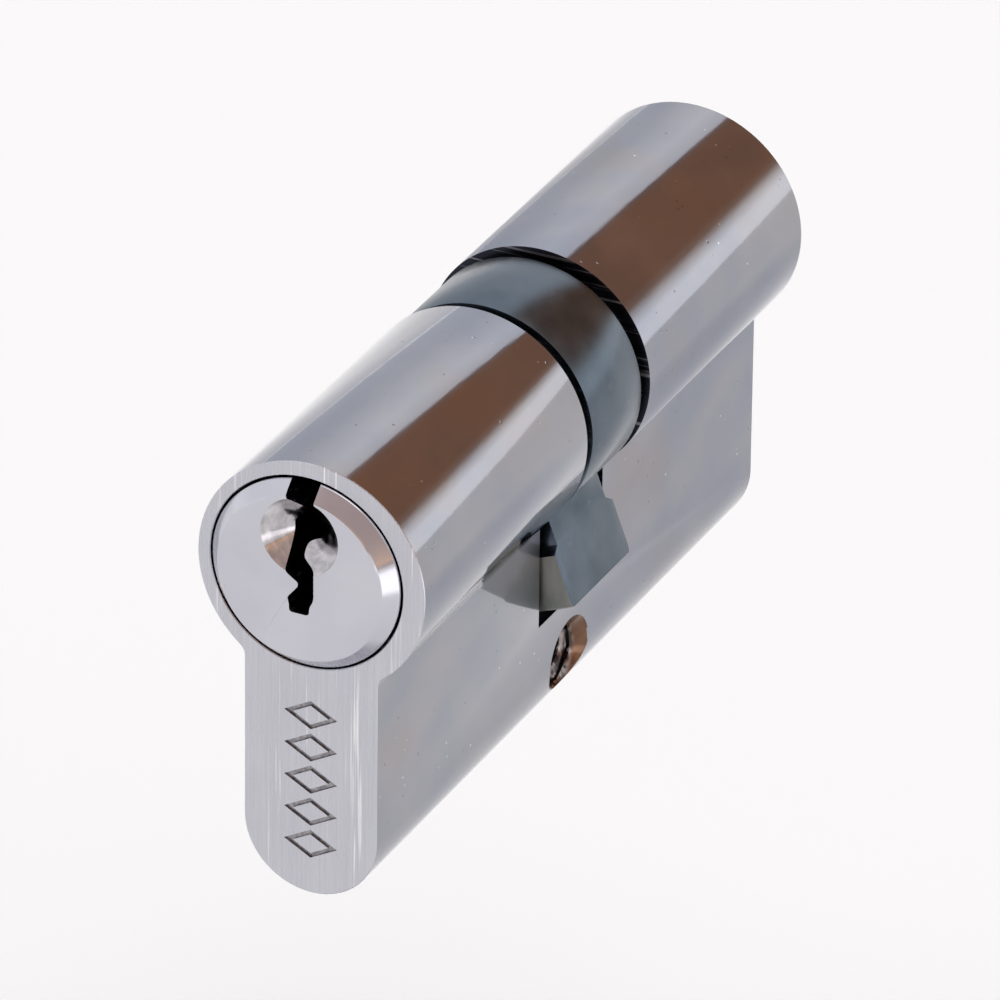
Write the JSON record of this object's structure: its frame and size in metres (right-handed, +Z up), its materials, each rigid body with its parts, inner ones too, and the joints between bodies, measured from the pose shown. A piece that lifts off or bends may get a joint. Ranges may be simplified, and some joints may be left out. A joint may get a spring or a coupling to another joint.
{
  "type": "double euro profile lock cylinder",
  "caption": "Double euro profile cylinder with a keyed plug at each end, sprung pin stacks in a flat web and a stepped cam in the middle slot.",
  "frame": {"origin": "on the axis of the 17 mm round part, midway along the cam slot and above the fixing screw hole", "axes": "+Y along the cylinder from the outer face to the inner face, +Z up from the flat web to the round part, +X to the right seen from the outer face"},
  "size_m": [0.017, 0.0622, 0.033],
  "materials": {
    "nickel": "nickel plated brass, bright rolled sides with fine pits, brushed ends",
    "polished_nickel": "nickel plated brass, smooth polished",
    "sintered_steel": "sintered steel, blue-grey oxide, satin",
    "spring_steel": "bright spring steel",
    "clutch_steel": "ground steel",
    "pin_brass": "turned brass",
    "nickel_silver": "turned nickel silver"
  },
  "bodies": {
    "cylinder_body": {"cylinder_body": "nickel", "outer_chamber_plug_1": "pin_brass", "outer_pin_spring_1": "spring_steel", "outer_chamber_plug_2": "pin_brass", "outer_pin_spring_2": "spring_steel", "outer_chamber_plug_3": "pin_brass", "outer_pin_spring_3": "spring_steel", "outer_chamber_plug_4": "pin_brass", "outer_pin_spring_4": "spring_steel", "outer_chamber_plug_5": "pin_brass", "outer_pin_spring_5": "spring_steel", "inner_chamber_plug_1": "pin_brass", "inner_pin_spring_1": "spring_steel", "inner_chamber_plug_2": "pin_brass", "inner_pin_spring_2": "spring_steel", "inner_chamber_plug_3": "pin_brass", "inner_pin_spring_3": "spring_steel", "inner_chamber_plug_4": "pin_brass", "inner_pin_spring_4": "spring_steel", "inner_chamber_plug_5": "pin_brass", "inner_pin_spring_5": "spring_steel"},
    "outer_plug": {"outer_plug": "polished_nickel", "outer_plug_clip": "spring_steel"},
    "inner_plug": {"inner_plug": "polished_nickel", "inner_plug_clip": "spring_steel"},
    "cam": {"cam": "sintered_steel"},
    "outer_clutch_driver": {"outer_clutch_driver": "clutch_steel", "clutch_spring": "spring_steel"},
    "inner_clutch_driver": {"inner_clutch_driver": "clutch_steel"},
    "outer_key_pin_1": {"outer_key_pin_1": "pin_brass"},
    "outer_driver_pin_1": {"outer_driver_pin_1": "nickel_silver"},
    "outer_key_pin_2": {"outer_key_pin_2": "pin_brass"},
    "outer_driver_pin_2": {"outer_driver_pin_2": "nickel_silver"},
    "outer_key_pin_3": {"outer_key_pin_3": "pin_brass"},
    "outer_driver_pin_3": {"outer_driver_pin_3": "nickel_silver"},
    "outer_key_pin_4": {"outer_key_pin_4": "pin_brass"},
    "outer_driver_pin_4": {"outer_driver_pin_4": "nickel_silver"},
    "outer_key_pin_5": {"outer_key_pin_5": "pin_brass"},
    "outer_driver_pin_5": {"outer_driver_pin_5": "nickel_silver"},
    "inner_key_pin_1": {"inner_key_pin_1": "pin_brass"},
    "inner_driver_pin_1": {"inner_driver_pin_1": "nickel_silver"},
    "inner_key_pin_2": {"inner_key_pin_2": "pin_brass"},
    "inner_driver_pin_2": {"inner_driver_pin_2": "nickel_silver"},
    "inner_key_pin_3": {"inner_key_pin_3": "pin_brass"},
    "inner_driver_pin_3": {"inner_driver_pin_3": "nickel_silver"},
    "inner_key_pin_4": {"inner_key_pin_4": "pin_brass"},
    "inner_driver_pin_4": {"inner_driver_pin_4": "nickel_silver"},
    "inner_key_pin_5": {"inner_key_pin_5": "pin_brass"},
    "inner_driver_pin_5": {"inner_driver_pin_5": "nickel_silver"}
  },
  "joints": [
    {"name": "outer_plug_turn", "type": "hinge", "parent": "cylinder_body", "child": "outer_plug", "pos_m": [-0.00038, 0, 0.00014], "axis": [0, 1, 0], "continuous": true},
    {"name": "inner_plug_turn", "type": "hinge", "parent": "cylinder_body", "child": "inner_plug", "pos_m": [-0.00038, 0, 0.00014], "axis": [0, 1, 0], "continuous": true},
    {"name": "cam_turn", "type": "hinge", "parent": "cylinder_body", "child": "cam", "pos_m": [-0.00038, 0, 0.00014], "axis": [0, 1, 0], "continuous": true},
    {"name": "outer_clutch_slide", "type": "slide", "parent": "outer_plug", "child": "outer_clutch_driver", "axis": [0, -1, 0], "range_m": [0, 0.0018]},
    {"name": "inner_clutch_slide", "type": "slide", "parent": "inner_plug", "child": "inner_clutch_driver", "axis": [0, -1, 0], "range_m": [0, 0.0018]},
    {"name": "outer_key_pin_1_rise", "type": "slide", "parent": "outer_plug", "child": "outer_key_pin_1", "axis": [0, 0, 1], "range_m": [0, 0.0029]},
    {"name": "outer_driver_pin_1_press", "type": "slide", "parent": "cylinder_body", "child": "outer_driver_pin_1", "axis": [0, 0, 1], "range_m": [-0.001, 0], "stiffness_N_per_m": 150, "springref_m": 0.006, "deforming": ["outer_pin_spring_1"]},
    {"name": "outer_key_pin_2_rise", "type": "slide", "parent": "outer_plug", "child": "outer_key_pin_2", "axis": [0, 0, 1], "range_m": [0, 0.0014]},
    {"name": "outer_driver_pin_2_press", "type": "slide", "parent": "cylinder_body", "child": "outer_driver_pin_2", "axis": [0, 0, 1], "range_m": [-0.0025, 0], "stiffness_N_per_m": 150, "springref_m": 0.006, "deforming": ["outer_pin_spring_2"]},
    {"name": "outer_key_pin_3_rise", "type": "slide", "parent": "outer_plug", "child": "outer_key_pin_3", "axis": [0, 0, 1], "range_m": [0, 0.0034]},
    {"name": "outer_driver_pin_3_press", "type": "slide", "parent": "cylinder_body", "child": "outer_driver_pin_3", "axis": [0, 0, 1], "range_m": [-0.0005, 0], "stiffness_N_per_m": 150, "springref_m": 0.006, "deforming": ["outer_pin_spring_3"]},
    {"name": "outer_key_pin_4_rise", "type": "slide", "parent": "outer_plug", "child": "outer_key_pin_4", "axis": [0, 0, 1], "range_m": [0, 0.0019]},
    {"name": "outer_driver_pin_4_press", "type": "slide", "parent": "cylinder_body", "child": "outer_driver_pin_4", "axis": [0, 0, 1], "range_m": [-0.002, 0], "stiffness_N_per_m": 150, "springref_m": 0.006, "deforming": ["outer_pin_spring_4"]},
    {"name": "outer_key_pin_5_rise", "type": "slide", "parent": "outer_plug", "child": "outer_key_pin_5", "axis": [0, 0, 1], "range_m": [0, 0.0024]},
    {"name": "outer_driver_pin_5_press", "type": "slide", "parent": "cylinder_body", "child": "outer_driver_pin_5", "axis": [0, 0, 1], "range_m": [-0.0015, 0], "stiffness_N_per_m": 150, "springref_m": 0.006, "deforming": ["outer_pin_spring_5"]},
    {"name": "inner_key_pin_1_rise", "type": "slide", "parent": "inner_plug", "child": "inner_key_pin_1", "axis": [0, 0, 1], "range_m": [0, 0.0029]},
    {"name": "inner_driver_pin_1_press", "type": "slide", "parent": "cylinder_body", "child": "inner_driver_pin_1", "axis": [0, 0, 1], "range_m": [-0.001, 0], "stiffness_N_per_m": 150, "springref_m": 0.006, "deforming": ["inner_pin_spring_1"]},
    {"name": "inner_key_pin_2_rise", "type": "slide", "parent": "inner_plug", "child": "inner_key_pin_2", "axis": [0, 0, 1], "range_m": [0, 0.0014]},
    {"name": "inner_driver_pin_2_press", "type": "slide", "parent": "cylinder_body", "child": "inner_driver_pin_2", "axis": [0, 0, 1], "range_m": [-0.0025, 0], "stiffness_N_per_m": 150, "springref_m": 0.006, "deforming": ["inner_pin_spring_2"]},
    {"name": "inner_key_pin_3_rise", "type": "slide", "parent": "inner_plug", "child": "inner_key_pin_3", "axis": [0, 0, 1], "range_m": [0, 0.0034]},
    {"name": "inner_driver_pin_3_press", "type": "slide", "parent": "cylinder_body", "child": "inner_driver_pin_3", "axis": [0, 0, 1], "range_m": [-0.0005, 0], "stiffness_N_per_m": 150, "springref_m": 0.006, "deforming": ["inner_pin_spring_3"]},
    {"name": "inner_key_pin_4_rise", "type": "slide", "parent": "inner_plug", "child": "inner_key_pin_4", "axis": [0, 0, 1], "range_m": [0, 0.0019]},
    {"name": "inner_driver_pin_4_press", "type": "slide", "parent": "cylinder_body", "child": "inner_driver_pin_4", "axis": [0, 0, 1], "range_m": [-0.002, 0], "stiffness_N_per_m": 150, "springref_m": 0.006, "deforming": ["inner_pin_spring_4"]},
    {"name": "inner_key_pin_5_rise", "type": "slide", "parent": "inner_plug", "child": "inner_key_pin_5", "axis": [0, 0, 1], "range_m": [0, 0.0024]},
    {"name": "inner_driver_pin_5_press", "type": "slide", "parent": "cylinder_body", "child": "inner_driver_pin_5", "axis": [0, 0, 1], "range_m": [-0.0015, 0], "stiffness_N_per_m": 150, "springref_m": 0.006, "deforming": ["inner_pin_spring_5"]}
  ],
  "couplings": [
    {"joint": "cam_turn", "follows": "outer_plug_turn", "ratio": 1},
    {"joint": "inner_clutch_slide", "follows": "outer_clutch_slide", "ratio": 1}
  ]
}
